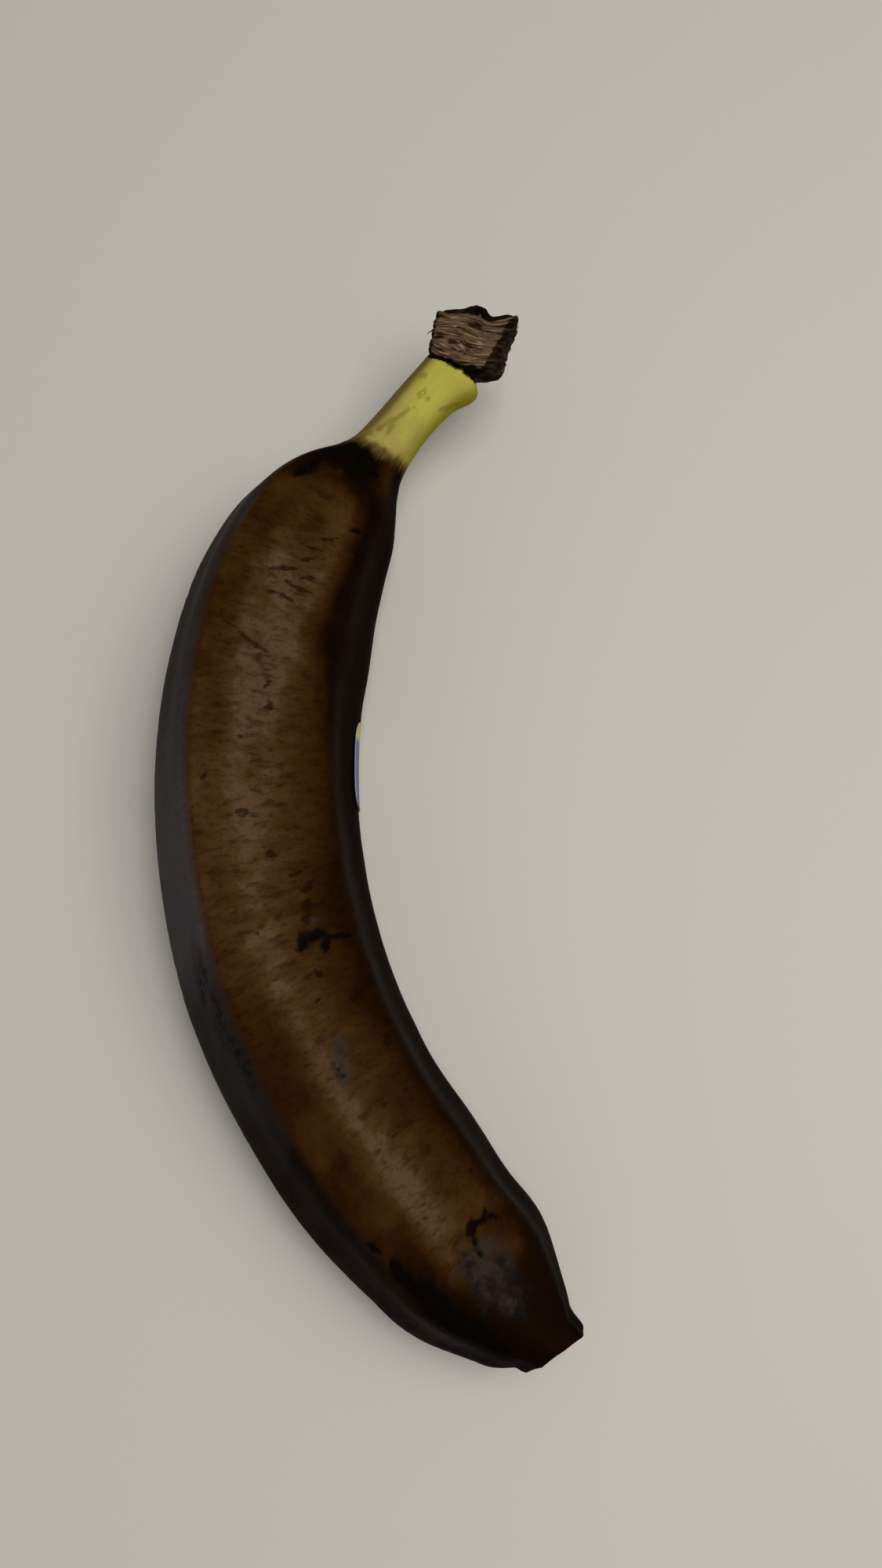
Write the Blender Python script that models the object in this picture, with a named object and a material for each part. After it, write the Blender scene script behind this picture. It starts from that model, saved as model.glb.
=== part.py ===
# A very ripe banana, broken off its bunch and lying on its side, with a small blank produce label.
#
# Frame: metres, +Z up. The fruit lies on z = 0 and its footprint is centred on the origin. The stem
# points to +Y, the hollow of the bend faces +X. The peel is one closed loft: five rounded ridges run
# from the neck to the blossom end, and the chunk of crown torn off with the stem caps the neck.
# Distances along the fruit ("along") are measured on the centreline from the joint of crown and neck.

import math

import bpy
import numpy as np

# ---- driving dimensions (metres, degrees) ----

# centreline, from the crown joint to the blossom end
NECK_HEADING = -38.5          # direction of the neck, from -Y towards +X
NECK_STRAIGHT = 0.0315
SHOULDER_ARC, SHOULDER_TURN = 0.037, 29.0
BODY_ARC, BODY_TURN = 0.0985, 48.0
END_ARC, END_TURN = 0.0385, 9.0
NECK_LIFT = 0.005             # the neck rises this much above the line of the body
NECK_LIFT_START = 0.050       # where it starts to rise

# widths across the fruit, seen from above
BODY_WIDTH = 0.0374
BODY_WIDEST = 0.087           # where the body is widest
END_TAPER = 0.0041            # loss of width at TAPER_REACH from the widest place
TAPER_REACH = 0.087
NECK_WIDTH = 0.0102
NECK_SWELL = 0.0024           # the neck's gain in width just above the shoulder
SWELL_START = 0.012
SHOULDER_START = 0.0258
SHOULDER_REACH = 0.0104       # the shoulder closes 63 % of its step in this length
COLLAR_FLARE = 0.0016         # the neck swells on its inner side under the crown
COLLAR_REACH = 0.0045
BLOSSOM_WIDTH = 0.0112        # blunt face at the blossom end
BLOSSOM_REACH = 0.0225        # the end closes over this length
BLOSSOM_SHIFT = 0.0010        # the blunt face sits this much towards the hollow side
BLOSSOM_SKEW = 0.0014         # its inner corner stands this much further out than its middle
BLOSSOM_DIMPLE = 0.0008       # depth of the blunt face's middle

# section
RIDGES = 5
SECTION_ROLL = 11.0           # turns the ridges about the centreline, from one face level on top
RIDGE_SHARPNESS = 9.0
NECK_RIDGES = 0.35            # share of the ridges left in the neck
BELLY_SAG = 0.0013            # the soft underside is pressed flat by this much

# crown chunk
CROWN_SEAT = 0.0028           # from the joint to the middle of its skewed base
CROWN_LENGTH = 0.0070
CROWN_BASE_TURN = 4.0         # its base turns back from the neck's heading towards -Y
CROWN_TOP_TURN = 29.0
CROWN_BASE_WIDTH = 0.0144
CROWN_TOP_WIDTH = 0.0150
CROWN_DEPTH = 0.0118          # thickness, from the worktop side to the upper face
CROWN_ROLL = 18.0
CROWN_SQUARENESS = 5.0

# produce label
LABEL_LENGTH = 0.0200         # along the fruit
LABEL_WIDTH = 0.0150          # around the fruit
LABEL_CENTRE = 0.0880         # along the fruit
LABEL_ANGLE = -28.0           # around the fruit, from +X up
LABEL_THICKNESS = 0.0002
LABEL_GAP = 0.0003
LABEL_CORNERS = 5.0           # superellipse exponent of its outline

# resolution of the faceted solid
RING_POINTS = 40
RING_SPACING = 0.0034
FINE_SPACING = 0.0019         # at the shoulder and the blossom end
CROWN_RINGS = 4
LABEL_RINGS, LABEL_POINTS = 4, 32

STRETCHES = [
    (NECK_STRAIGHT, 0.0),
    (SHOULDER_ARC, SHOULDER_TURN),
    (BODY_ARC, BODY_TURN),
    (END_ARC, END_TURN),
]
LENGTH = sum(length for length, turn in STRETCHES)


# ---- centreline ----

def centre_xy(along):
    """Plan position and heading (radians, from -Y towards +X) at a distance along the fruit."""
    x, y, heading = 0.0, 0.0, math.radians(NECK_HEADING)
    left = along
    for index, (length, turn) in enumerate(STRETCHES):
        last = index == len(STRETCHES) - 1
        run = left if last or left < length else length
        curl = math.radians(turn) / length
        mid = heading + curl * run / 2
        chord = run if curl == 0 else 2 * math.sin(curl * run / 2) / curl
        x += chord * math.sin(mid)
        y -= chord * math.cos(mid)
        heading += curl * run
        left -= run
        if left <= 0:
            break
    return x, y, heading


def body_width(along):
    """Width of the plain body, before the neck and the blossom end narrow it."""
    return BODY_WIDTH - END_TAPER * ((along - BODY_WIDEST) / TAPER_REACH) ** 2


def centre_height(along):
    rise = max(0.0, 1 - along / NECK_LIFT_START)
    return body_width(along) / 2 - BELLY_SAG + NECK_LIFT * rise ** 2


# ---- widths ----

def neck_share(along):
    """1 in the neck, falling to 0 past the shoulder."""
    return math.exp(-max(0.0, along - SHOULDER_START) / SHOULDER_REACH)


def closing(along):
    """0 at the blossom end, rising to 1 where the body is full."""
    return math.sin(math.pi / 2 * max(0.0, min(1.0, (LENGTH - along) / BLOSSOM_REACH)))


def width(along):
    swell = max(0.0, min(1.0, (along - SWELL_START) / (SHOULDER_START - SWELL_START)))
    neck = NECK_WIDTH + NECK_SWELL * swell ** 2
    full = body_width(along)
    wide = full + (neck - full) * neck_share(along)
    blunt = BLOSSOM_WIDTH / full
    return wide * (blunt + (1 - blunt) * closing(along))


# ---- section ----

def pentagon(angle):
    """Radius of a rounded pentagon whose sides lie at distance 1, at an angle from +X up."""
    total = 0.0
    for side in range(RIDGES):
        normal = math.radians(SECTION_ROLL + side * 360 / RIDGES)
        total += max(0.0, math.cos(angle - normal)) ** RIDGE_SHARPNESS
    return total ** (-1 / RIDGE_SHARPNESS)


def pentagon_half_width():
    angles = np.linspace(0, 2 * math.pi, 721)
    across = [pentagon(a) * math.cos(a) for a in angles]
    return (max(across) - min(across)) / 2


HALF_WIDTH = pentagon_half_width()


def radius(along, angle):
    ridges = 1 + (NECK_RIDGES - 1) * neck_share(along)
    round_part = 1 + ridges * (pentagon(angle) / HALF_WIDTH - 1)
    flare = COLLAR_FLARE * math.exp(-max(0.0, along) / COLLAR_REACH) * max(0.0, math.cos(angle)) ** 2
    return width(along) / 2 * round_part + flare


def surface(along, angle, proud=0.0):
    """Point of the peel; proud moves it outwards."""
    x, y, heading = centre_xy(along)
    reach = radius(along, angle) + proud
    blunt = 1 - closing(along)
    side = reach * math.cos(angle) + BLOSSOM_SHIFT * blunt
    ahead = BLOSSOM_SKEW * math.cos(angle) * blunt ** 2
    up = reach * math.sin(angle)
    px = x + side * math.cos(heading) + ahead * math.sin(heading)
    py = y + side * math.sin(heading) - ahead * math.cos(heading)
    return px, py, max(0.0, centre_height(along) + up)


# ---- crown chunk ----

def crown_frame(share):
    """Plan position and heading of the crown's section; share is 0 at the base and 1 at the torn top."""
    x, y, heading = centre_xy(0.0)
    x -= CROWN_SEAT * math.sin(heading)
    y += CROWN_SEAT * math.cos(heading)
    turn = math.radians(CROWN_BASE_TURN + (CROWN_TOP_TURN - CROWN_BASE_TURN) * share)
    middle = heading + (math.radians(CROWN_BASE_TURN) + turn) / 2
    reach = share * CROWN_LENGTH
    return x - reach * math.sin(middle), y + reach * math.cos(middle), heading + turn


def crown_point(share, angle):
    x, y, heading = crown_frame(share)
    roll = math.radians(CROWN_ROLL)
    c, s = math.cos(angle - roll), math.sin(angle - roll)
    square = (abs(c) ** CROWN_SQUARENESS + abs(s) ** CROWN_SQUARENESS) ** (-1 / CROWN_SQUARENESS)
    wide = CROWN_BASE_WIDTH + (CROWN_TOP_WIDTH - CROWN_BASE_WIDTH) * share
    across = wide / 2 * square * c
    deep = CROWN_DEPTH / 2 * square * s
    side = across * math.cos(roll) - deep * math.sin(roll)
    up = across * math.sin(roll) + deep * math.cos(roll)
    return (x + side * math.cos(heading), y + side * math.sin(heading), centre_height(0.0) + up)


# ---- solids ----

def new_object(name, points, faces, colour, roughness):
    mesh = bpy.data.meshes.new(name)
    mesh.from_pydata(points, [], faces)
    mesh.validate()
    mesh.shade_smooth()
    mesh.set_sharp_from_angle(angle=math.radians(40))
    material = bpy.data.materials.new(name)
    material.use_nodes = True
    shader = material.node_tree.nodes["Principled BSDF"]
    shader.inputs["Base Color"].default_value = (*colour, 1)
    shader.inputs["Roughness"].default_value = roughness
    shader.inputs["Metallic"].default_value = 0
    mesh.materials.append(material)
    piece = bpy.data.objects.new(name, mesh)
    bpy.context.scene.collection.objects.link(piece)
    return piece


def bridge(first, second, count):
    """Quads between two rings of points that start at the given indices."""
    faces = []
    for i in range(count):
        j = (i + 1) % count
        faces.append((first + i, first + j, second + j, second + i))
    return faces


def ring_places():
    """Distances along the fruit of the peel's rings, closer at the shoulder and the blossom end."""
    places = [0.0]
    while places[-1] < LENGTH:
        here = places[-1]
        fine = SHOULDER_START - 0.004 < here < SHOULDER_START + 0.012 or here > LENGTH - BLOSSOM_REACH
        places.append(here + (FINE_SPACING if fine else RING_SPACING))
    places[-1] = LENGTH
    if places[-1] - places[-2] < FINE_SPACING / 2:
        del places[-2]
    return places


def banana_mesh():
    angles = [2 * math.pi * i / RING_POINTS for i in range(RING_POINTS)]
    rings = []
    for step in range(CROWN_RINGS, -1, -1):
        rings.append([crown_point(step / CROWN_RINGS, a) for a in angles])
    for along in ring_places():
        rings.append([surface(along, a) for a in angles])
    points = [p for ring in rings for p in ring]
    faces = []
    for r in range(len(rings) - 1):
        faces += bridge(r * RING_POINTS, (r + 1) * RING_POINTS, RING_POINTS)
    top = tuple(np.mean(rings[0], axis=0))
    x, y, heading = centre_xy(LENGTH - BLOSSOM_DIMPLE)
    x += BLOSSOM_SHIFT * math.cos(heading)
    y += BLOSSOM_SHIFT * math.sin(heading)
    end = (x, y, centre_height(LENGTH))
    last = (len(rings) - 1) * RING_POINTS
    points += [top, end]
    for i in range(RING_POINTS):
        j = (i + 1) % RING_POINTS
        faces.append((len(points) - 2, j, i))
        faces.append((len(points) - 1, last + i, last + j))
    return points, faces


def label_point(share, turn, proud):
    """Point of the label; share runs from 0 at its centre to 1 at its outline."""
    c, s = math.cos(turn), math.sin(turn)
    n = LABEL_CORNERS
    square = share * (abs(c) ** n + abs(s) ** n) ** (-1 / n)
    along = LABEL_CENTRE + square * c * LABEL_LENGTH / 2
    angle = math.radians(LABEL_ANGLE)
    angle += square * s * LABEL_WIDTH / 2 / radius(LABEL_CENTRE, angle)
    return surface(along, angle, proud)


def label_mesh():
    points, faces = [], []
    turns = [2 * math.pi * i / LABEL_POINTS for i in range(LABEL_POINTS)]
    for proud in (LABEL_GAP, LABEL_GAP + LABEL_THICKNESS):
        points.append(label_point(0.0, 0.0, proud))
        for ring in range(1, LABEL_RINGS + 1):
            points += [label_point(ring / LABEL_RINGS, t, proud) for t in turns]
    layer = 1 + LABEL_RINGS * LABEL_POINTS
    for start, flip in ((0, True), (layer, False)):
        sheet = []
        for i in range(LABEL_POINTS):
            sheet.append((start, start + 1 + (i + 1) % LABEL_POINTS, start + 1 + i))
        for ring in range(LABEL_RINGS - 1):
            inner = start + 1 + ring * LABEL_POINTS
            sheet += bridge(inner, inner + LABEL_POINTS, LABEL_POINTS)
        faces += [tuple(reversed(f)) for f in sheet] if flip else sheet
    rim = layer - LABEL_POINTS
    faces += bridge(layer + rim, rim, LABEL_POINTS)
    return points, faces


def centred(points, middle):
    return [(x - middle[0], y - middle[1], z) for x, y, z in points]


def main():
    for old in list(bpy.data.objects):
        bpy.data.objects.remove(old, do_unlink=True)
    peel, peel_faces = banana_mesh()
    plan = np.array(peel)[:, :2]
    middle = (plan.min(axis=0) + plan.max(axis=0)) / 2
    label, label_faces = label_mesh()
    new_object("banana", centred(peel, middle), peel_faces, (0.075, 0.035, 0.014), 0.45)
    new_object("sticker", centred(label, middle), label_faces, (0.10, 0.16, 0.36), 0.35)


main()
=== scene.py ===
# An overripe banana on a pale worktop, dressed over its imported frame.
# The skin, the crown stub and the label are fine meshes worked out from the fruit's own sizes;
# distances along the fruit ("along") run on its centreline from the crown joint to the blossom end,
# and turns round it ("turn") start at the hollow side of the bend and go up over the top.

import math

import bpy
import numpy as np
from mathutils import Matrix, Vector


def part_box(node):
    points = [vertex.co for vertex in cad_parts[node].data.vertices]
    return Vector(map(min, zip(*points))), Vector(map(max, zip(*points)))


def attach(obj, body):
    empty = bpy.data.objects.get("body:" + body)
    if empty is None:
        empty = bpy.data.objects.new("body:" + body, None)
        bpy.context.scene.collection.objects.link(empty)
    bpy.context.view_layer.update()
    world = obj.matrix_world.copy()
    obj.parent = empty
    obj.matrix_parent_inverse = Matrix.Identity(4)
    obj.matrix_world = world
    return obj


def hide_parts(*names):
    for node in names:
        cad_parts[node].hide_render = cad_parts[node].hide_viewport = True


mm = 0.001


# the frame

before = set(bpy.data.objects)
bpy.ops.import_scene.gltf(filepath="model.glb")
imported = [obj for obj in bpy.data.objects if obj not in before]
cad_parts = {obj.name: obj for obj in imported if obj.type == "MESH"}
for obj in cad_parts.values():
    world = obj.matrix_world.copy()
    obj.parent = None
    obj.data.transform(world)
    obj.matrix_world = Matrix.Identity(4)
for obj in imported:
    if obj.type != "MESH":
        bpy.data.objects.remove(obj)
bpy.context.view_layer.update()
fruitLow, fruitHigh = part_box("banana")
fruitMiddle = [(fruitLow[0] + fruitHigh[0]) / 2, (fruitLow[1] + fruitHigh[1]) / 2]
print("frame loaded:", ", ".join(sorted(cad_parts)))


# small tools

def smoothRandom(u, v, rows, columns, seed):
    # soft random values, -1 to 1, on a lattice; v wraps round after all its columns
    table = np.random.default_rng(seed).uniform(-1, 1, (rows + 2, columns))
    u = np.clip(u, 0, rows - 1e-6)
    v = np.mod(v, columns)
    i, j = np.floor(u).astype(int), np.floor(v).astype(int) % columns
    fu, fv = u - i, v - np.floor(v)
    fu, fv = fu * fu * (3 - 2 * fu), fv * fv * (3 - 2 * fv)
    k = (j + 1) % columns
    upper = table[i, j] * (1 - fv) + table[i, k] * fv
    lower = table[i + 1, j] * (1 - fv) + table[i + 1, k] * fv
    return upper * (1 - fu) + lower * fu


def lumps(along, turn, cell, columns, seed, octaves=3):
    # layered soft noise; cell is the length of its largest lumps along the fruit
    total, strength = 0.0, 1.0
    for octave in range(octaves):
        size = cell / 2 ** octave
        rows = int(0.30 / size) + 2
        across = columns * 2 ** octave
        share = turn / (2 * math.pi)
        layer = smoothRandom((along + 0.04) / size, share * across, rows, across, seed + octave)
        total = total + strength * layer
        strength *= 0.5
    return total / 1.6


noises = {  # stretch along the fruit, length of the largest lumps, lumps round, seed, layers
    "lumps": (1, 24 * mm, 5, 11, 3),
    "seamWander": (1, 18 * mm, 1, 21, 2),
    "seamHeight": (1, 5 * mm, 1, 31, 2),
    "pleats": (0.25, 4 * mm, 22, 41, 2),
    "endPleats": (0.3, 5 * mm, 15, 51, 2),
    "neckGrooves": (0.12, 3 * mm, 13, 61, 3),
    "wrinkles": (1, 1.5 * mm, 26, 71, 2),
    "wrinkled": (1, 20 * mm, 5, 81, 2),
    "rimWave": (0, 5 * mm, 9, 91, 2),
    "markAlong": (1, 2.6 * mm, 44, 100, 2),
    "neckLine": (1, 3 * mm, 20, 111, 2),
    "markAcross": (1, 2.6 * mm, 44, 150, 2),
    "markFray": (1, 1.6 * mm, 60, 180, 2),
    "crownLip": (0, 2 * mm, 24, 201, 3),
    "crownFlow": (1, 4 * mm, 7, 211, 2),
    "crownFolds": (1, 1.15 * mm, 8, 221, 2),
    "crownFibres": (1, 0.42 * mm, 22, 231, 2),
    "crownSwell": (1, 5 * mm, 6, 241, 2),
    "crownFray": (1, 1.2 * mm, 30, 271, 3),
    "toneEdge": (1, 9 * mm, 20, 301, 3),
    "shoulderFade": (1, 6 * mm, 14, 311, 3),
    "endFade": (1, 6 * mm, 14, 321, 3),
    "reflectionEdge": (1, 9 * mm, 12, 331, 3),
    "endBand": (1, 5 * mm, 20, 341, 3),
}


def noiseOf(name, along, turn, further=0):
    stretch, cell, columns, seed, octaves = noises[name]
    return lumps(along * stretch, turn, cell, columns, seed + further, octaves)


firstTurn = math.radians(-90)


def ringTurns(count):
    return firstTurn + 2 * math.pi * np.arange(count) / count


def bump(x, width):
    return np.exp(-(x / width) ** 2)


def ramp(x, start, end):
    share = np.clip((x - start) / (end - start), 0, 1)
    return share * share * (3 - 2 * share)


def turnGap(a, b):
    # shortest signed turn from b to a, in radians
    return np.mod(a - b + math.pi, 2 * math.pi) - math.pi


# the fruit's centreline and section, as the frame has them

fruit = {
    "neckHeading": -38.5,
    "stretches": [(0.0315, 0.0), (0.037, 29.0), (0.0985, 48.0), (0.0385, 9.0)],  # length, turn in degrees
    "neckLift": 5.0 * mm,
    "neckLiftStart": 50 * mm,
    "bodyWidth": 37.4 * mm,
    "bodyWidest": 87 * mm,
    "endTaper": 4.1 * mm,
    "taperReach": 87 * mm,
    "neckWidth": 10.2 * mm,
    "neckSwell": 2.4 * mm,
    "swellStart": 12 * mm,
    "shoulderStart": 25.8 * mm,
    "shoulderReach": 10.4 * mm,
    "shoulderSoftness": 1.5 * mm,
    "collarFlare": 1.6 * mm,
    "collarReach": 4.5 * mm,
    "blossomWidth": 11.2 * mm,
    "blossomReach": 22.5 * mm,
    "blossomShift": 1.0 * mm,
    "blossomSkew": 1.4 * mm,
    "ridges": 5,
    "roll": 11.0,
    "sharpness": 9.0,
    "neckRidges": 0.35,
    "bellySag": 1.3 * mm,
    "restRatio": 0.5,
}
fruitLength = sum(length for length, bend in fruit["stretches"])


def centreTable():
    # plan position and heading of the centreline, finely sampled
    steps = np.linspace(-0.02, fruitLength + 0.01, 4601)
    knots, headings = [-0.02, 0.0], [fruit["neckHeading"]] * 2
    for length, bend in fruit["stretches"]:
        knots.append(knots[-1] + length)
        headings.append(headings[-1] + bend)
    knots.append(knots[-1] + 0.01)
    headings.append(headings[-1] + fruit["stretches"][-1][1] * 0.01 / fruit["stretches"][-1][0])
    heading = np.radians(np.interp(steps, knots, headings))
    step = steps[1] - steps[0]
    east, north = np.sin(heading), -np.cos(heading)
    x = np.concatenate([[0], np.cumsum((east[1:] + east[:-1]) / 2 * step)])
    y = np.concatenate([[0], np.cumsum((north[1:] + north[:-1]) / 2 * step)])
    x -= np.interp(0, steps, x)
    y -= np.interp(0, steps, y)
    return steps, x, y, heading


centreSteps, centreX, centreY, centreHeading = centreTable()


def bodyWidth(along):
    return fruit["bodyWidth"] - fruit["endTaper"] * ((along - fruit["bodyWidest"]) / fruit["taperReach"]) ** 2


def centreHeight(along):
    rise = np.clip(1 - along / fruit["neckLiftStart"], 0, 1.3)
    return fruit["restRatio"] * bodyWidth(along) - fruit["bellySag"] + fruit["neckLift"] * rise ** 2


def neckShare(along):
    # 1 in the neck, falling away past the shoulder, with a soft start
    soft = fruit["shoulderSoftness"]
    past = soft * np.logaddexp(0, (along - fruit["shoulderStart"]) / soft)
    return np.exp(-past / fruit["shoulderReach"])


def closing(along):
    return np.sin(math.pi / 2 * np.clip((fruitLength - along) / fruit["blossomReach"], 0, 1))


def fruitWidth(along):
    start, swellEnd = fruit["swellStart"], fruit["shoulderStart"]
    swell = np.clip((along - start) / (swellEnd - start), 0, 1)
    neck = fruit["neckWidth"] + fruit["neckSwell"] * swell ** 2
    full = bodyWidth(along)
    wide = full + (neck - full) * neckShare(along)
    blunt = fruit["blossomWidth"] / full
    return wide * (blunt + (1 - blunt) * closing(along))


def pentagon(turn):
    total = 0.0
    for side in range(fruit["ridges"]):
        normal = math.radians(fruit["roll"] + side * 360 / fruit["ridges"])
        total = total + np.maximum(0, np.cos(turn - normal)) ** fruit["sharpness"]
    return total ** (-1 / fruit["sharpness"])


sectionTurns = np.linspace(0, 2 * math.pi, 721)
sectionAcross = pentagon(sectionTurns) * np.cos(sectionTurns)
pentagonHalf = (sectionAcross.max() - sectionAcross.min()) / 2


def fruitRadius(along, turn):
    ridges = 1 + (fruit["neckRidges"] - 1) * neckShare(along)
    shape = 1 + ridges * (pentagon(turn) / pentagonHalf - 1)
    flare = np.exp(-np.maximum(0, along) / fruit["collarReach"]) * np.maximum(0, np.cos(turn)) ** 2
    return fruitWidth(along) / 2 * shape + fruit["collarFlare"] * flare


def fruitPoint(along, turn, proud=0.0, ahead=0.0):
    # point of the skin before it is centred; proud moves it outwards, ahead along the fruit
    heading = np.interp(along, centreSteps, centreHeading)
    blunt = 1 - closing(along)
    reach = fruitRadius(along, turn) + proud
    side = reach * np.cos(turn) + fruit["blossomShift"] * blunt
    ahead = ahead + fruit["blossomSkew"] * np.cos(turn) * blunt ** 2
    x = np.interp(along, centreSteps, centreX) + side * np.cos(heading) + ahead * np.sin(heading)
    y = np.interp(along, centreSteps, centreY) + side * np.sin(heading) - ahead * np.cos(heading)
    return np.stack([x, y, centreHeight(along) + reach * np.sin(turn)], axis=-1)


stub = {  # the frame's plain stub, which only sets the footprint that everything is centred on
    "seat": 2.8 * mm,
    "length": 7.0 * mm,
    "baseTurn": 4.0,
    "topTurn": 29.0,
    "baseWidth": 14.4 * mm,
    "topWidth": 15.0 * mm,
    "depth": 11.8 * mm,
    "roll": 18.0,
    "squareness": 5.0,
}


def stubPlan(share, turn):
    heading = math.radians(fruit["neckHeading"])
    bend = np.radians(stub["baseTurn"] + (stub["topTurn"] - stub["baseTurn"]) * share)
    middle = heading + (math.radians(stub["baseTurn"]) + bend) / 2
    x = -stub["seat"] * math.sin(heading) - share * stub["length"] * np.sin(middle)
    y = stub["seat"] * math.cos(heading) + share * stub["length"] * np.cos(middle)
    roll = math.radians(stub["roll"])
    c, s = np.cos(turn - roll), np.sin(turn - roll)
    n = stub["squareness"]
    square = (np.abs(c) ** n + np.abs(s) ** n) ** (-1 / n)
    wide = stub["baseWidth"] + (stub["topWidth"] - stub["baseWidth"]) * share
    side = square * (wide / 2 * c * math.cos(roll) - stub["depth"] / 2 * s * math.sin(roll))
    return np.stack([x + side * np.cos(heading + bend), y + side * np.sin(heading + bend)], axis=-1)


def findMiddle():
    turns = np.radians(np.arange(0, 360, 9))
    rings = np.linspace(0, fruitLength, 120)
    skin = fruitPoint(rings[:, None], turns[None, :])[..., :2].reshape(-1, 2)
    torn = stubPlan(np.linspace(0, 1, 5)[:, None], turns[None, :]).reshape(-1, 2)
    both = np.concatenate([skin, torn])
    return (both.min(axis=0) + both.max(axis=0)) / 2


fruitOffset = np.array([*(np.array(fruitMiddle) - findMiddle()), 0.0])


def softFloor(points, give=0.6 * mm):
    # lets nothing sink below the surface, with a soft edge to the flat belly
    z = points[..., 2]
    points[..., 2] = (z + np.sqrt(z * z + give * give)) / 2
    return points


# meshes

def wrapTube(rowAlong, count, radius, flip=False):
    # faces of a tube of rings, closed at its first ring by one face and at its tip by a fan;
    # map "OFBake" lays it out flat, "place" gives along and round in metres
    rows = len(rowAlong) - 1
    r, c = np.divmod(np.arange((rows - 1) * count), count)
    i, last = np.arange(count), np.full(count, rows - 1)
    patches = [
        (np.stack([r, r, r + 1, r + 1], axis=-1), np.stack([c, c + 1, c + 1, c], axis=-1)),
        (np.stack([last, last, last + 1], axis=-1), np.stack([i, i + 1, i + 0.5], axis=-1)),
        (np.zeros((1, count), dtype=int), i[None, ::-1]),
    ]
    faces, flat, place = [], [], []
    for row, column in patches:
        if flip:
            row, column = row[:, ::-1], column[:, ::-1]
        corners = row * count + np.floor(column).astype(int) % count
        faces += np.where(row == rows, rows * count, corners).tolist()
        along, turn = rowAlong[row], firstTurn + 2 * math.pi * column / count
        lengthwise = 0.02 + 0.93 * (along - rowAlong[0]) / (rowAlong[-1] - rowAlong[0])
        flat.append(np.stack([lengthwise, 0.01 + 0.98 * column / count], axis=-1).reshape(-1, 2))
        place.append(np.stack([along, turn * radius], axis=-1).reshape(-1, 2))
    flat[-1] = np.stack([0.975 + 0.018 * np.cos(turn), 0.5 + 0.018 * np.sin(turn)], axis=-1).reshape(-1, 2)
    return faces, {"OFBake": np.concatenate(flat), "place": np.concatenate(place)}


def makeMesh(name, points, faces, spots=None, masks=None, sharpAngle=None):
    # points (n, 3), faces as index lists, spots a map per face corner, masks named colours per point
    mesh = bpy.data.meshes.new(name)
    mesh.from_pydata(points.tolist(), [], [list(map(int, f)) for f in faces])
    for mapName, values in (spots or {}).items():
        layer = mesh.uv_layers.new(name=mapName)
        layer.data.foreach_set("uv", np.asarray(values, dtype=np.float32).ravel())
    for maskName, values in (masks or {}).items():
        colours = np.ones((len(points), 4), dtype=np.float32)
        colours[:, :values.shape[1]] = values
        attribute = mesh.color_attributes.new(name=maskName, type="FLOAT_COLOR", domain="POINT")
        attribute.data.foreach_set("color", colours.ravel())
    mesh.shade_smooth()
    if sharpAngle:
        mesh.set_sharp_from_angle(angle=math.radians(sharpAngle))
    mesh.validate()
    piece = bpy.data.objects.new(name, mesh)
    bpy.context.scene.collection.objects.link(piece)
    return piece


def dress(piece, material, slotName, *nodes):
    piece.data.materials.append(material)
    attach(piece, "root")
    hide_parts(*nodes)
    return piece


# marks on the skin, each a run of (along in mm, turn in degrees) with its width and depth in mm

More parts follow.
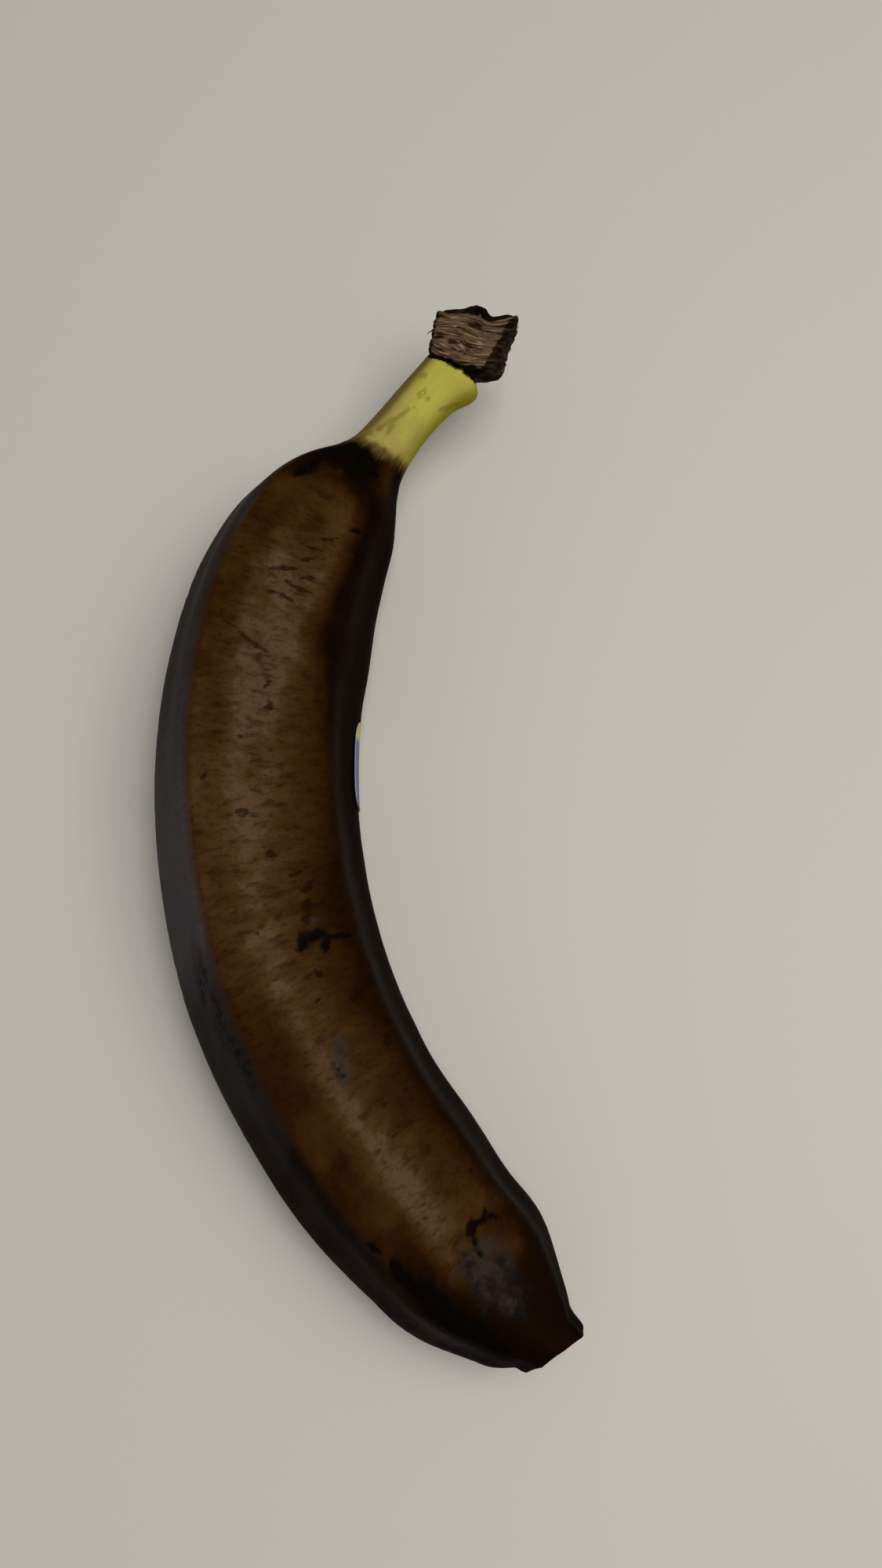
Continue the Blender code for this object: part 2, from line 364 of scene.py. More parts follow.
marks = {
    "black": [
        (1.5, 0.20, [(127.2, 46), (126.6, 55), (125.6, 62)]),
        (3.0, 0.30, [(125.8, 59), (124.9, 67), (126.6, 74)]),
        (1.9, 0.20, [(126.5, 60), (129.0, 62)]),
        (1.5, 0.15, [(42.0, 51), (43.3, 57)]),
        (3.4, 0.15, [(34.2, 107), (39.0, 109)]),
        (1.5, 0.20, [(182.0, 54), (181.6, 60), (180.6, 67)]),
        (1.9, 0.20, [(180.3, 65), (181.6, 70), (184.2, 75)]),
        (1.2, 0.10, [(181.8, 60), (180.2, 56)]),
        (1.0, 0.10, [(182.2, 57), (183.4, 54)]),
        (1.0, 0.00, [(184.0, 75), (185.6, 76)]),
        (1.2, 0.10, [(172.0, 118), (174.5, 117)]),
        (4.4, 0.00, [(177.0, 115), (184.0, 114), (192.0, 114), (199.0, 117)]),
        (2.4, 0.00, [(203.6, 12), (204.4, 40)]),
        (4.6, 0.00, [(28.8, 62), (28.2, 80), (28.4, 100), (29.4, 118)]),
        (1.6, 0.10, [(0.2, -25), (0.7, 30), (1.6, 80), (2.2, 120), (2.0, 150)]),
    ],
    "crease": [
        (1.5, 0.15, [(72.6, 79), (72.0, 86), (71.4, 92), (69.6, 99)]),
        (1.5, 0.17, [(45.8, 61), (48.2, 69)]),
        (1.5, 0.17, [(50.4, 67), (50.9, 81)]),
        (1.5, 0.12, [(52.4, 70), (53.6, 75)]),
        (1.5, 0.14, [(55.4, 76), (57.7, 92)]),
        (1.7, 0.14, [(56.2, 64), (57.4, 73)]),
        (1.5, 0.13, [(59.4, 62), (58.9, 80)]),
        (1.5, 0.10, [(62.0, 70), (61.2, 88)]),
        (1.5, 0.11, [(109.1, 81), (109.9, 73)]),
        (1.5, 0.08, [(78.0, 75), (79.6, 80)]),
        (1.5, 0.08, [(81.6, 77), (83.8, 73)]),
        (1.5, 0.08, [(82.0, 73), (83.6, 78)]),
        (1.5, 0.07, [(88.4, 89), (89.2, 93)]),
        (2.2, 0.07, [(101.3, 87), (101.5, 95)]),
        (1.7, 0.07, [(122.2, 93), (122.6, 95)]),
        (1.5, 0.07, [(68.4, 108), (69.4, 100)]),
        (1.5, 0.06, [(95.2, 107), (96.0, 112)]),
        (1.5, 0.07, [(135.6, 72), (136.4, 76)]),
        (1.5, 0.08, [(116.0, 58), (117.2, 66)]),
        (1.5, 0.08, [(119.6, 55), (120.3, 67)]),
        (1.5, 0.08, [(113.4, 62), (113.9, 70)]),
        (2.6, 0.10, [(136.6, 51), (138.4, 56)]),
        (2.8, 0.10, [(146.2, 47), (148.4, 52)]),
        (2.0, 0.10, [(132.3, 66), (131.0, 69)]),
        (3.6, 0.00, [(119.0, 64), (123.0, 66)]),
    ],
    "smudgeAndGlint": [
        (3.4, 0.00, [(143.0, 72), (146.0, 75), (150.0, 80)]),
        (9.0, 0.00, [(184.0, 80), (187.0, 74), (190.0, 86)]),
        (8.0, 0.00, [(184.5, 82), (188.0, 86)]),
        (5.0, 0.00, [(192.0, 78), (195.0, 84)]),
        # a painted highlight: a grey glint on the upper edge of the black blotch
        (2.2, 0.00, [(122.6, 61), (123.4, 66)]),
        (5.0, 0.00, [(122.0, 128), (121.0, 140)]),
    ],
    "blue": [
        (7.0, 0.00, [(125.0, 130), (126.0, 142), (128.0, 152)]),
        (6.0, 0.00, [(131.0, 128), (134.5, 134), (133.0, 146)]),
        (4.6, 0.00, [(136.0, 125), (140.0, 123), (144.0, 127)]),
        (3.4, 0.00, [(129.0, 129), (132.5, 127)]),
        (2.2, 0.00, [(146.5, 82), (149.0, 79)]),
        (3.0, 0.00, [(183.0, 84), (187.0, 88), (190.0, 95)]),
        (4.6, 0.00, [(188.0, 68), (194.0, 72), (197.5, 82)]),
        (3.4, 0.00, [(190.0, 82), (192.0, 100)]),
    ],
    "amber": [
        (11.0, 0.00, [(42.0, 70), (47.0, 74)]),
        (6.0, 0.00, [(40.0, 108), (45.0, 112)]),
        (10.0, 0.00, [(150.0, 104), (162.0, 106), (172.0, 104)]),
        (9.0, 0.00, [(176.0, 62), (188.0, 58)]),
        (8.0, 0.00, [(35.0, 92), (38.0, 100)]),
    ],
    "spots": [  # small dark bruises on the yellow neck
        (2.2, 0.00, [(6.4, 106), (7.0, 112)]),
        (2.2, 0.00, [(17.2, 96), (18.6, 102)]),
        (1.4, 0.00, [(9.8, 68), (10.1, 78)]),
        (1.7, 0.00, [(10.2, 88), (10.4, 94)]),
        (1.2, 0.00, [(8.8, 84), (9.2, 88)]),
        (1.0, 0.00, [(12.4, 80), (12.6, 84)]),
        (1.5, 0.00, [(5.4, 4), (8.0, 16), (9.6, 29)]),
        (1.3, 0.00, [(14.4, 90), (17.2, 95), (20.0, 92)]),
        (1.1, 0.00, [(17.6, 103), (20.6, 106)]),
        (1.5, 0.00, [(13.6, 86), (13.9, 92)]),
        (1.2, 0.00, [(17.0, 96), (17.3, 104)]),
        (1.8, 0.00, [(21.4, 112), (22.6, 116)]),
    ],
}


def markMask(along, turn, armRadius, kind, index):
    # strength of one kind of mark over the skin, and how deep it presses in
    u = along / mm + 0.55 * noiseOf("markAlong", along, turn, index)
    sway = 0.55 * noiseOf("markAcross", along, turn, index)
    fray = 0.45 * noiseOf("markFray", along, turn, index)
    mask, dip = np.zeros(u.shape), np.zeros(u.shape)
    for width, depth, run in marks[kind]:
        nearest, part = np.full(u.shape, 1e9), np.zeros(u.shape)
        for leg, ((a0, t0), (a1, t1)) in enumerate(zip(run[:-1], run[1:])):
            v = turnGap(turn, math.radians(t0)) * armRadius / mm + sway
            du, dv = a1 - a0, math.radians(t1 - t0) * armRadius / mm
            share = np.clip(((u - a0) * du + v * dv) / (du * du + dv * dv + 1e-9), 0, 1)
            far = np.hypot(u - a0 - share * du, v - share * dv)
            part = np.where(far < nearest, (leg + share) / (len(run) - 1), part)
            nearest = np.minimum(nearest, far)
        taper = 0.45 + 0.55 * np.sqrt(np.clip(1 - (2 * part - 1) ** 2, 0, 1))
        far = nearest / (width / 2 * taper)
        mask = np.maximum(mask, 1 - ramp(far + fray, 0.2, 1.4))
        dip = np.maximum(dip, depth * mm * np.exp(-far ** 2))
    return mask, dip


skin = {
    "start": -0.6 * mm,  # the first ring, tucked into the crown stub
    "rings": 0.46 * mm,
    "fineRings": 0.32 * mm,
    "fineShoulder": (5 * mm, 9 * mm),  # fine rings from this far before the shoulder to this far past it
    "fineEnd": 16 * mm,
    "points": 176,
    "mapRadius": 18.7 * mm,
    "lumps": 0.30 * mm,
    "hollow": 0.22 * mm,
    "ridgeSeams": {47: 0.02 * mm, 119: 0.28 * mm, 191: 0.05 * mm, 263: 0.12 * mm, 335: 0.12 * mm},
    "seamWidth": 1.2 * mm,
    "seamWander": 0.035,
    "pucker": 0.24 * mm,
    "puckerPlace": 2.5 * mm,  # past the shoulder's start
    "puckerReach": 6 * mm,
    "endPucker": 0.30 * mm,
    "neckGrooves": 0.10 * mm,
    "wrinkles": 0.07 * mm,
    "collarTuck": 1.4 * mm,
    "capRows": 16,
    "capDimple": 1.3 * mm,
    "capScar": 0.9 * mm,
    "capRays": 0.25 * mm,
    "rimReach": 1.5 * mm,
    "rimLip": 0.30 * mm,
    "rimAhead": 0.7 * mm,
    "rimGroove": 0.35 * mm,
    "nub": 0.2 * mm,
    "nubTurn": 12,
    "trims": [  # turn in degrees, place and reach along in mm, how far out in mm
        (185, 112, 50, -0.50), (185, 90, 22, -0.35), (190, 186, 13, -1.4), (168, 201.5, 3.5, 1.0),
        (170, 45, 7, 0.3), (180, 68, 14, -0.3), (190, 150, 13, -0.3), (180, 31, 4, -0.4), (180, 14, 11, 0.6),
        (0, 14, 7, -0.5), (8, 2.4, 2.6, 1.5), (-5, 47, 10, -0.9), (0, 40, 5, -0.4), (0, 66, 9, 0.4),
        (0, 167, 8, 0.35), (0, 181, 7, -0.6), (0, 192, 6, 0.5), (10, 201.5, 2.5, -0.15), (47, 100, 70, -0.25),
    ],
}


def skinRings():
    places = [skin["start"]]
    before, after = skin["fineShoulder"]
    while places[-1] < fruitLength:
        here = places[-1]
        atShoulder = -before < here - fruit["shoulderStart"] < after
        fine = atShoulder or here > fruitLength - skin["fineEnd"]
        places.append(here + skin["fineRings" if fine else "rings"])
    places[-1] = fruitLength
    return np.array(places)


def skinRelief(along, turn, dips):
    neck = neckShare(along)
    body = 1 - neck
    blunt = 1 - closing(along)
    height = skin["lumps"] * noiseOf("lumps", along, turn) * body
    faceTurn = turn - math.radians(fruit["roll"])
    height = height - skin["hollow"] * np.cos(fruit["ridges"] * faceTurn) * body * (1 - blunt)
    wander = skin["seamWander"] * noiseOf("seamWander", along, turn * 0)
    for ridge, seam in skin["ridgeSeams"].items():
        gap = turnGap(turn, math.radians(ridge) + wander) * skin["mapRadius"]
        uneven = 1 + 0.5 * noiseOf("seamHeight", along, turn * 0 + ridge, ridge)
        height = height + seam * bump(gap, skin["seamWidth"]) * uneven * body
    puckered = bump(along - fruit["shoulderStart"] - skin["puckerPlace"], skin["puckerReach"])
    height = height + skin["pucker"] * noiseOf("pleats", along, turn) * puckered
    height = height + skin["endPucker"] * noiseOf("endPleats", along, turn) * ramp(blunt, 0.12, 0.85)
    height = height + skin["neckGrooves"] * noiseOf("neckGrooves", along, turn) * neck
    fine = 1 - np.abs(noiseOf("wrinkles", along, turn)) * 2
    where = 0.35 + ramp(noiseOf("wrinkled", along, turn), -0.1, 0.5)
    height = height + skin["wrinkles"] * fine * where * body
    for side, place, reach, out in skin["trims"]:
        facing = np.maximum(0, np.cos(turn - math.radians(side))) ** 2
        height = height + out * mm * facing * bump(along / mm - place, reach)
    return height - dips - skin["collarTuck"] * ramp(-along, -1.6 * mm, 0.4 * mm)


allRound = 1e6  # a reach, in degrees, that fades nowhere

tones = {  # turns in degrees, places along the fruit and reaches in mm
    "places": [45, 72, 90, 105, 120, 140, 170],
    # painted shade and sheen: below the first turn the hollow side is kept dark, and towards the second the
    # upper face lightens into a painted sheen band
    "darkTurn": [47, 49, 34, 37, 50, 46, 38],  # the upper face lightens between these two turns
    "lightTurn": [60, 63, 80, 84, 90, 84, 84],
    "edgeWander": 6,
    "fadeWander": 3,
    "hollowSide": {"least": 0.05, "more": 0.11, "places": (74, 88), "turns": (14, 36)},
    "redSide": {"least": 0.26, "more": 0.14, "place": 98, "reach": 22, "last": 0.26, "lastPlaces": (128, 146),
                "turns": (90, 106), "shift": 2, "shiftPlaces": (120, 146)},
    "patches": [  # place and reach along, turn and reach round, how much lighter
        # the first patch is a painted sheen on the upper face near the blossom end
        (166, 16, 82, 13, 0.14), (47, 8, 86, 42, -0.34), (66, 12, 0, allRound, -0.08),
    ],
    "lowerPlaces": (120, 140),
    "lowerDark": 0.10,
    "shoulderPlaces": (30, 45),
    "endPlaces": (178, 193),
    "endDark": 0.72,
    "bandPlaces": (174, 186),
    "bandTurns": (96, 110),
    "bandOuterTurns": (121, 131),
    "neckFoot": {"tone": 0.34, "turn": 42, "reach": 15, "places": (29, 36)},
    "under": 0.42,
    "ridgeTurn": 118.5,
    "ridgeSoft": 1.4,
    # painted reflection: how much grey reflection of the worktop is painted on the outer strip, by place
    # along the fruit
    "reflectionPlaces": [45, 60, 75, 88, 100, 118, 128, 142, 156, 185, 205],
    "reflectionShares": [0.30, 0.40, 0.50, 0.78, 1.0, 1.0, 0.35, 0.22, 0.02, 0.02, 0.12],
    "neckLine": 24.0 * mm,
    "neckWaves": [  # turn, reach round, how far on
        (10, 0.6, -1.2 * mm), (80, 0.5, 0.9 * mm), (138, 0.45, 1.6 * mm),
    ],
}


def ripeTone(along, turn, degrees, across, endBand):
    # 0 is the black hollow side, the skin's dark tone deepened with painted shade where it turns from the
    # light; 1 the lightest tan, lifted with a painted sheen along the upper face
    place = along / mm
    dark = np.interp(place, tones["places"], tones["darkTurn"])
    light = np.interp(place, tones["places"], tones["lightTurn"])
    ripe = np.clip((across - dark) / (light - dark), 0, 1)
    side = tones["hollowSide"]
    share = side["least"] + side["more"] * ramp(place, *side["places"])
    ripe = share * ramp(across, *side["turns"]) + (1 - share) * ripe
    side = tones["redSide"]
    redder = side["least"] + side["more"] * (1 - bump(place - side["place"], side["reach"]))
    redder = redder + side["last"] * ramp(place, *side["lastPlaces"])
    shifted = across + side["shift"] * ramp(place, *side["shiftPlaces"])
    ripe = ripe * (1 - redder * ramp(shifted, *side["turns"]))
    for middle, reach, sideways, width, lighter in tones["patches"]:
        ripe = ripe * (1 + lighter * bump(place - middle, reach) * bump(degrees - sideways, width))
    ripe = ripe * (1 - tones["lowerDark"] * ramp(place, *tones["lowerPlaces"]))
    strayed = place + tones["fadeWander"] * noiseOf("shoulderFade", along, turn)
    ripe = ripe * ramp(strayed, *tones["shoulderPlaces"])
    strayed = place + tones["fadeWander"] * noiseOf("endFade", along, turn)
    ripe = ripe * (1 - tones["endDark"] * ramp(strayed, *tones["endPlaces"]))
    ripe = ripe * (1 - 0.95 * endBand * ramp(across, *tones["bandTurns"]))
    foot = tones["neckFoot"]
    footTone = foot["tone"] * bump(across - foot["turn"], foot["reach"]) * (1 - ramp(place, *foot["places"]))
    under = np.maximum(ramp(-degrees, 35, 60), ramp(degrees, 215, 238))
    return np.maximum(np.maximum(ripe, footTone), tones["under"] * under)


def toneZones(along, turn):
    degrees = np.degrees(np.mod(turn - firstTurn, 2 * math.pi)) - 90
    place = along / mm
    wander = tones["edgeWander"] * noiseOf("toneEdge", along, turn)
    across = degrees + wander
    endBand = ramp(place + tones["fadeWander"] * noiseOf("endBand", along, turn), *tones["bandPlaces"])

    stripEdge = degrees + 0.5 * wander * (1 - ramp(place, 50, 62)) - tones["ridgeTurn"]
    strip = ramp(stripEdge, -tones["ridgeSoft"], tones["ridgeSoft"])
    strip = strip * (1 - ramp(degrees, 212, 236)) * ramp(place, 36, 46)
    strip = strip * (1 - 0.9 * endBand * (1 - ramp(across, *tones["bandOuterTurns"])))
    reflectionPlace = place + 4 * noiseOf("reflectionEdge", along, turn)
    neckLine = tones["neckLine"] + 0.9 * mm * noiseOf("neckLine", along, turn)
    for middle, reach, onward in tones["neckWaves"]:
        neckLine = neckLine + onward * bump(turnGap(turn, math.radians(middle)), reach)
    ridge = bump(turnGap(turn, math.radians(tones["ridgeTurn"])) * skin["mapRadius"], 1.0 * mm)
    return {
        "yellow": 1 - ramp(along, neckLine - 3.4 * mm, neckLine + 2.6 * mm),
        "ripe": ripeTone(along, turn, degrees, across, endBand),
        "endDark": ramp(along, 184 * mm, 203 * mm),
        "strip": strip,
        "paintedReflection": np.interp(reflectionPlace, tones["reflectionPlaces"], tones["reflectionShares"]),
        "ridgeLine": ridge * ramp(place, 45, 60) * (1 - ramp(place, 172, 182)),
    }


def endDish(rim, forward):
    # the blunt end face: rings inwards from the rim to a puckered dish with a small scar, and its tip
    count, capRows = skin["points"], skin["capRows"]
    heart = rim.mean(axis=0)
    rays = smoothRandom(np.full(count, 3.0), np.arange(count) / count * 24, 6, 24, 95)
    dish = []
    for row in range(1, capRows):
        share = 1 - row / capRows
        sink = -skin["capDimple"] * math.sin(math.pi * min(1, (1 - share) * 1.5) / 2)
        scar = skin["capScar"] * math.exp(-(share / 0.28) ** 2)
        drop = sink + scar + skin["capRays"] * rays * share * (1 - share) * 4
        dish.append(heart + (rim - heart) * share + drop[:, None] * forward)
    tip = heart + (skin["capScar"] - skin["capDimple"]) * forward
    return dish + [tip[None, :]]


def makeSkin():
    rings = skinRings()
    count, capRows = skin["points"], skin["capRows"]
    along, turn = np.meshgrid(rings, ringTurns(count), indexing="ij")
    armRadius = np.minimum(fruitWidth(along) / 2, skin["mapRadius"])
    masks, dips = {}, 0.0
    for index, kind in enumerate(marks):
        masks[kind], dip = markMask(along, turn, armRadius, kind, index)
        dips = np.maximum(dips, dip)
    relief = skinRelief(along, turn, dips)
    nubSide = bump(turnGap(turn, math.radians(skin["nubTurn"])), math.radians(38))
    outerSide = bump(turnGap(turn, math.radians(160)), math.radians(40))
    atRim = ramp(along, fruitLength - skin["rimReach"], fruitLength)
    rimWave = noiseOf("rimWave", along, turn)
    relief = relief + atRim * skin["rimLip"] * (1 + rimWave) * (1 - 0.8 * nubSide)
    relief = relief - skin["rimGroove"] * bump(along - fruitLength + 2.4 * mm, 1.1 * mm) * (1 - outerSide)
    ahead = atRim * (skin["nub"] * nubSide + skin["rimAhead"] * (1 + 0.5 * rimWave))
    points = fruitPoint(along, turn, relief, ahead)
    heading = np.interp(fruitLength, centreSteps, centreHeading)
    forward = np.array([math.sin(heading), -math.cos(heading), 0.0])
    allPoints = np.concatenate([points.reshape(-1, 3)] + endDish(points[-1], forward)) + fruitOffset
    beyond = fruitLength + np.append(np.linspace(0, 5 * mm, capRows)[1:], 6 * mm)
    faces, spots = wrapTube(np.concatenate([rings, beyond]), count, skin["mapRadius"])

    # masks per point; the end face takes the last ring's
    zones = toneZones(along, turn)

    def column(values):
        return np.concatenate([values.ravel(), np.tile(values[-1], capRows - 1), [values[-1].mean()]])

    grouped = {
        "stains": [masks["black"], masks["crease"], masks["smudgeAndGlint"]],
        "tints": [masks["blue"], masks["amber"], masks["spots"]],
        "zones": [zones["yellow"], zones["ripe"], zones["endDark"]],
        "sides": [zones["strip"], zones["paintedReflection"], zones["ridgeLine"]],
    }
    colours = {name: np.stack([column(m) for m in trio], axis=-1) for name, trio in grouped.items()}
    return makeMesh("peel", softFloor(allPoints), faces, spots, colours)


# shader helpers

def addNode(tree, kind, inputs=None, links=None, **settings):
    node = tree.nodes.new(kind)
    for name, value in settings.items():
        setattr(node, name, value)
    for name, value in (inputs or {}).items():
        node.inputs[name].default_value = value
    for name, source in (links or {}).items():
        tree.links.new(source, node.inputs[name])
    return node


def setOrLink(tree, socket, value):
    if isinstance(value, (int, float)):
        socket.default_value = value
    elif isinstance(value, tuple):
        socket.default_value = (*value, 1)
    else:
        tree.links.new(value, socket)


def maths(tree, operation, a, b, clamp=False):
    node = addNode(tree, "ShaderNodeMath", operation=operation, use_clamp=clamp)
    setOrLink(tree, node.inputs[0], a)
    setOrLink(tree, node.inputs[1], b)
    return node.outputs[0]


def times(tree, a, b, clamp=False):
    return maths(tree, "MULTIPLY", a, b, clamp)


def plus(tree, a, b, clamp=False):
    return maths(tree, "ADD", a, b, clamp)


def minus(tree, a, b):
    return maths(tree, "SUBTRACT", a, b)


def swing(tree, noise, strength, middle=0.5):
    # noise about its middle
    return times(tree, minus(tree, noise, middle), strength)


def lay(tree, base, over, mask, strength=1):
    # one colour laid over another where the mask is
    node = addNode(tree, "ShaderNodeMix", data_type="RGBA")
    setOrLink(tree, node.inputs[0], mask if strength == 1 else times(tree, mask, strength))
    setOrLink(tree, node.inputs[6], base)
    setOrLink(tree, node.inputs[7], over)
    return node.outputs[2]


def smoothBand(tree, value, low, high, flip=False):
    # 0 below the band and 1 above it, or the other way round; its ends are numbers or sockets
    node = addNode(tree, "ShaderNodeMapRange", interpolation_type="SMOOTHSTEP", links={"Value": value},
                   inputs={"To Min": float(flip), "To Max": float(not flip)})
    setOrLink(tree, node.inputs["From Min"], low)
    setOrLink(tree, node.inputs["From Max"], high)
    return node.outputs[0]


def newGroup(name, inputs, output):
    # a node group; its inputs are vectors where no number is given
    group = bpy.data.node_groups.new(name, "ShaderNodeTree")
    for socketName, value in inputs.items():
        kind = "NodeSocketVector" if value is None else "NodeSocketFloat"
        socket = group.interface.new_socket(name=socketName, in_out="INPUT", socket_type=kind)
        if value is not None:
            socket.default_value = value
    for socketName in output:
        group.interface.new_socket(name=socketName, in_out="OUTPUT", socket_type="NodeSocketFloat")
    return group, group.nodes.new("NodeGroupInput").outputs, group.nodes.new("NodeGroupOutput").inputs


def makeStreaks():
    # noise drawn out along one way, for fibres, wrinkles and streaks
    group, given, result = newGroup(
        "streaks", {"Vector": None, "Along": 1000.0, "Around": 300.0, "Detail": 3.0, "Low": 0.4, "High": 0.6,
                    "Offset": 0.0}, ["Mask", "Raw"])
    scale = addNode(group, "ShaderNodeCombineXYZ", links={"X": given["Along"], "Y": given["Around"]})
    stretch = addNode(group, "ShaderNodeVectorMath", operation="MULTIPLY",
                      links={0: given["Vector"], 1: scale.outputs[0]})
    shift = addNode(group, "ShaderNodeCombineXYZ", links={"Z": given["Offset"]})
    moved = addNode(group, "ShaderNodeVectorMath", operation="ADD",
                    links={0: stretch.outputs[0], 1: shift.outputs[0]})
    noise = addNode(group, "ShaderNodeTexNoise", inputs={"Scale": 1.0, "Roughness": 0.55, "Distortion": 0.3},
                    links={"Vector": moved.outputs[0], "Detail": given["Detail"]}).outputs["Fac"]
    group.links.new(smoothBand(group, noise, given["Low"], given["High"]), result["Mask"])
    group.links.new(noise, result["Raw"])
    return group


def makeFray():
    # breaks up a painted mask's soft edge with noise
    group, given, result = newGroup(
        "frayed edge", {"Mask": 0.0, "Vector": None, "Scale": 900.0, "Fray": 0.5, "Soft": 0.12}, ["Mask"])
    noise = addNode(group, "ShaderNodeTexNoise", inputs={"Detail": 4.0, "Roughness": 0.6},
                    links={"Vector": given["Vector"], "Scale": given["Scale"]}).outputs["Fac"]
    pushed = times(group, swing(group, noise, given["Fray"]), times(group, given["Mask"], 3.0, clamp=True))
    frayed = smoothBand(group, plus(group, given["Mask"], pushed), minus(group, 0.5, given["Soft"]),
                        plus(group, 0.5, given["Soft"]))
    group.links.new(frayed, result["Mask"])
    return group


def makeSpecks():
    # scattered small round specks
    group, given, result = newGroup(
        "specks", {"Vector": None, "Scale": 500.0, "Size": 0.2, "Share": 0.4}, ["Mask"])
    cells = addNode(group, "ShaderNodeTexVoronoi", feature="F1",
                    links={"Vector": given["Vector"], "Scale": given["Scale"]})
    near = addNode(group, "ShaderNodeMapRange", inputs={"From Max": 0.0, "To Max": 1.0},
                   links={"Value": cells.outputs["Distance"], "From Min": given["Size"]})
    pick = addNode(group, "ShaderNodeSeparateColor", links={"Color": cells.outputs["Color"]})
    chosen = maths(group, "LESS_THAN", pick.outputs[0], given["Share"])
    group.links.new(times(group, near.outputs[0], chosen), result["Mask"])
    return group


streaksGroup = makeStreaks()
frayGroup = makeFray()
specksGroup = makeSpecks()


def useGroup(tree, group, output="Mask", **values):
    node = tree.nodes.new("ShaderNodeGroup")
    node.node_tree = group
    for name, value in values.items():
        setOrLink(tree, node.inputs[name.capitalize()], value)
    return node.outputs[output]


def addColourRamp(tree, share, stops):
    node = addNode(tree, "ShaderNodeValToRGB", links={"Fac": share})
    elements = node.color_ramp.elements
    while len(elements) < len(stops):
        elements.new(0.5)
    for element, (position, colour) in zip(elements, stops):
        element.position = position
        element.color = (*colour, 1)
    return node.outputs["Color"]


def newMaterial(name):
    material = bpy.data.materials.new(name)
    material.use_nodes = True
    tree = material.node_tree
    solid = addNode(tree, "ShaderNodeTexCoord").outputs["Object"]
    return material, tree, tree.nodes["Principled BSDF"], solid


def placeMap(tree):
    return addNode(tree, "ShaderNodeUVMap", uv_map="place").outputs[0]


def readMasks(tree, name):
    source = addNode(tree, "ShaderNodeAttribute", attribute_name=name)
    return addNode(tree, "ShaderNodeSeparateColor", links={"Color": source.outputs["Color"]}).outputs[:3]


def addRelief(tree, shader, height, strength, distance):
    relief = addNode(tree, "ShaderNodeBump", inputs={"Strength": strength, "Distance": distance},
                     links={"Height": height})
    tree.links.new(relief.outputs[0], shader.inputs["Normal"])


peelLooks = {
    # the ripe tone's colours: painted shade on the black hollow side, and a painted sheen on the tan upper
    # face
    "ripeness": [  # from the black hollow side to the tan upper face
        (0.00, (0.0040, 0.0015, 0.0005)),
        (0.20, (0.0135, 0.0046, 0.0008)),
        (0.55, (0.0360, 0.0145, 0.0026)),
        (0.85, (0.0640, 0.0315, 0.0105)),
        (1.00, (0.0880, 0.0500, 0.0240)),
    ],
    "red": (0.022, 0.0065, 0.0016),
    "deep": (0.0055, 0.0022, 0.0009),
    "black": (0.0022, 0.0016, 0.0014),
    "crease": (0.0085, 0.0030, 0.0011),
    "amber": (0.0640, 0.0275, 0.0060),
    "smudgeAndGlint": (0.034, 0.027, 0.024),
    "blue": (0.0084, 0.0078, 0.0088),
    "stripBrown": (0.0100, 0.0052, 0.0034),
    # the painted grey reflection of the worktop on the outer strip
    "stripReflection": (0.0700, 0.0600, 0.0610),
    "yellow": (0.43, 0.38, 0.064),
    # green and side: the neck's olive hollow side and tan outer side, partly the skin's own tint and partly
    # painted shade
    "green": (0.27, 0.235, 0.018),
    "straw": (0.29, 0.218, 0.072),
    "side": (0.175, 0.130, 0.034),
    "bruise": (0.090, 0.052, 0.010),
    "roughness": 0.42,
    "neckRoughness": 0.50,
    "endRoughness": 0.10,
    "roughPatches": 0.20,
    "specular": 0.0025,
    "grain": 0.10 * mm,
    "grainStrength": 0.55,
    "fineGrain": 0.35,
    "noise": {  # waves in a metre along and round, layers, shift, and the band where a mask fades in
        "patches": {"along": 85, "around": 95, "detail": 6},
        "mottle": {"along": 330, "around": 170, "detail": 5, "offset": 13},
        "reds": {"along": 520, "around": 170, "detail": 4, "low": 0.54, "high": 0.66, "offset": 3},
        "fineStreaks": {"along": 1300, "around": 520, "detail": 5, "low": 0.46, "high": 0.72, "offset": 7},
        "reflectionCover": {"along": 200, "around": 70, "detail": 5, "offset": 31},
        "cloud": {"along": 430, "around": 380, "detail": 6, "low": 0.36, "high": 0.62, "offset": 51},
        "flecks": {"along": 900, "around": 620, "detail": 5, "low": 0.42, "high": 0.58, "offset": 57},
        "nicks": {"along": 1500, "around": 520, "detail": 5, "offset": 41},
        "neckTone": {"along": 150, "around": 70, "detail": 5, "offset": 11},
        "neckLines": {"along": 80, "around": 330, "detail": 3, "low": 0.45, "high": 0.75, "offset": 17},
        "ragged": {"along": 150, "around": 620, "detail": 5, "offset": 37},
        "grain": {"along": 1300, "around": 420, "detail": 4, "offset": 23},
        "fineGrain": {"along": 3200, "around": 1500, "detail": 3, "offset": 29},
    },
    "specks": {"scale": 560, "size": 0.34, "share": 0.10},
    "dots": {"scale": 1150, "size": 0.42, "share": 0.34},
    "frays": {
        "ridge": {"scale": 700, "fray": 0.9, "soft": 0.4},
        "end": {"scale": 180, "fray": 0.9, "soft": 0.4},
        "black": {"scale": 620, "fray": 1.7, "soft": 0.42},
        "spots": {"scale": 800, "fray": 1.5, "soft": 0.65},
    },
    "shares": {  # how strongly each layer covers what is under it
        "reds": 0.55, "fineStreaks": 0.42, "specks": 0.60, "dots": 0.60, "amber": 0.50, "stripStreaks": 0.18,
        "ridge": 0.40, "end": 0.65, "crease": 0.72, "black": 0.95, "neckLines": 0.09, "spots": 0.42,
        "singed": 0.85,
    },
}


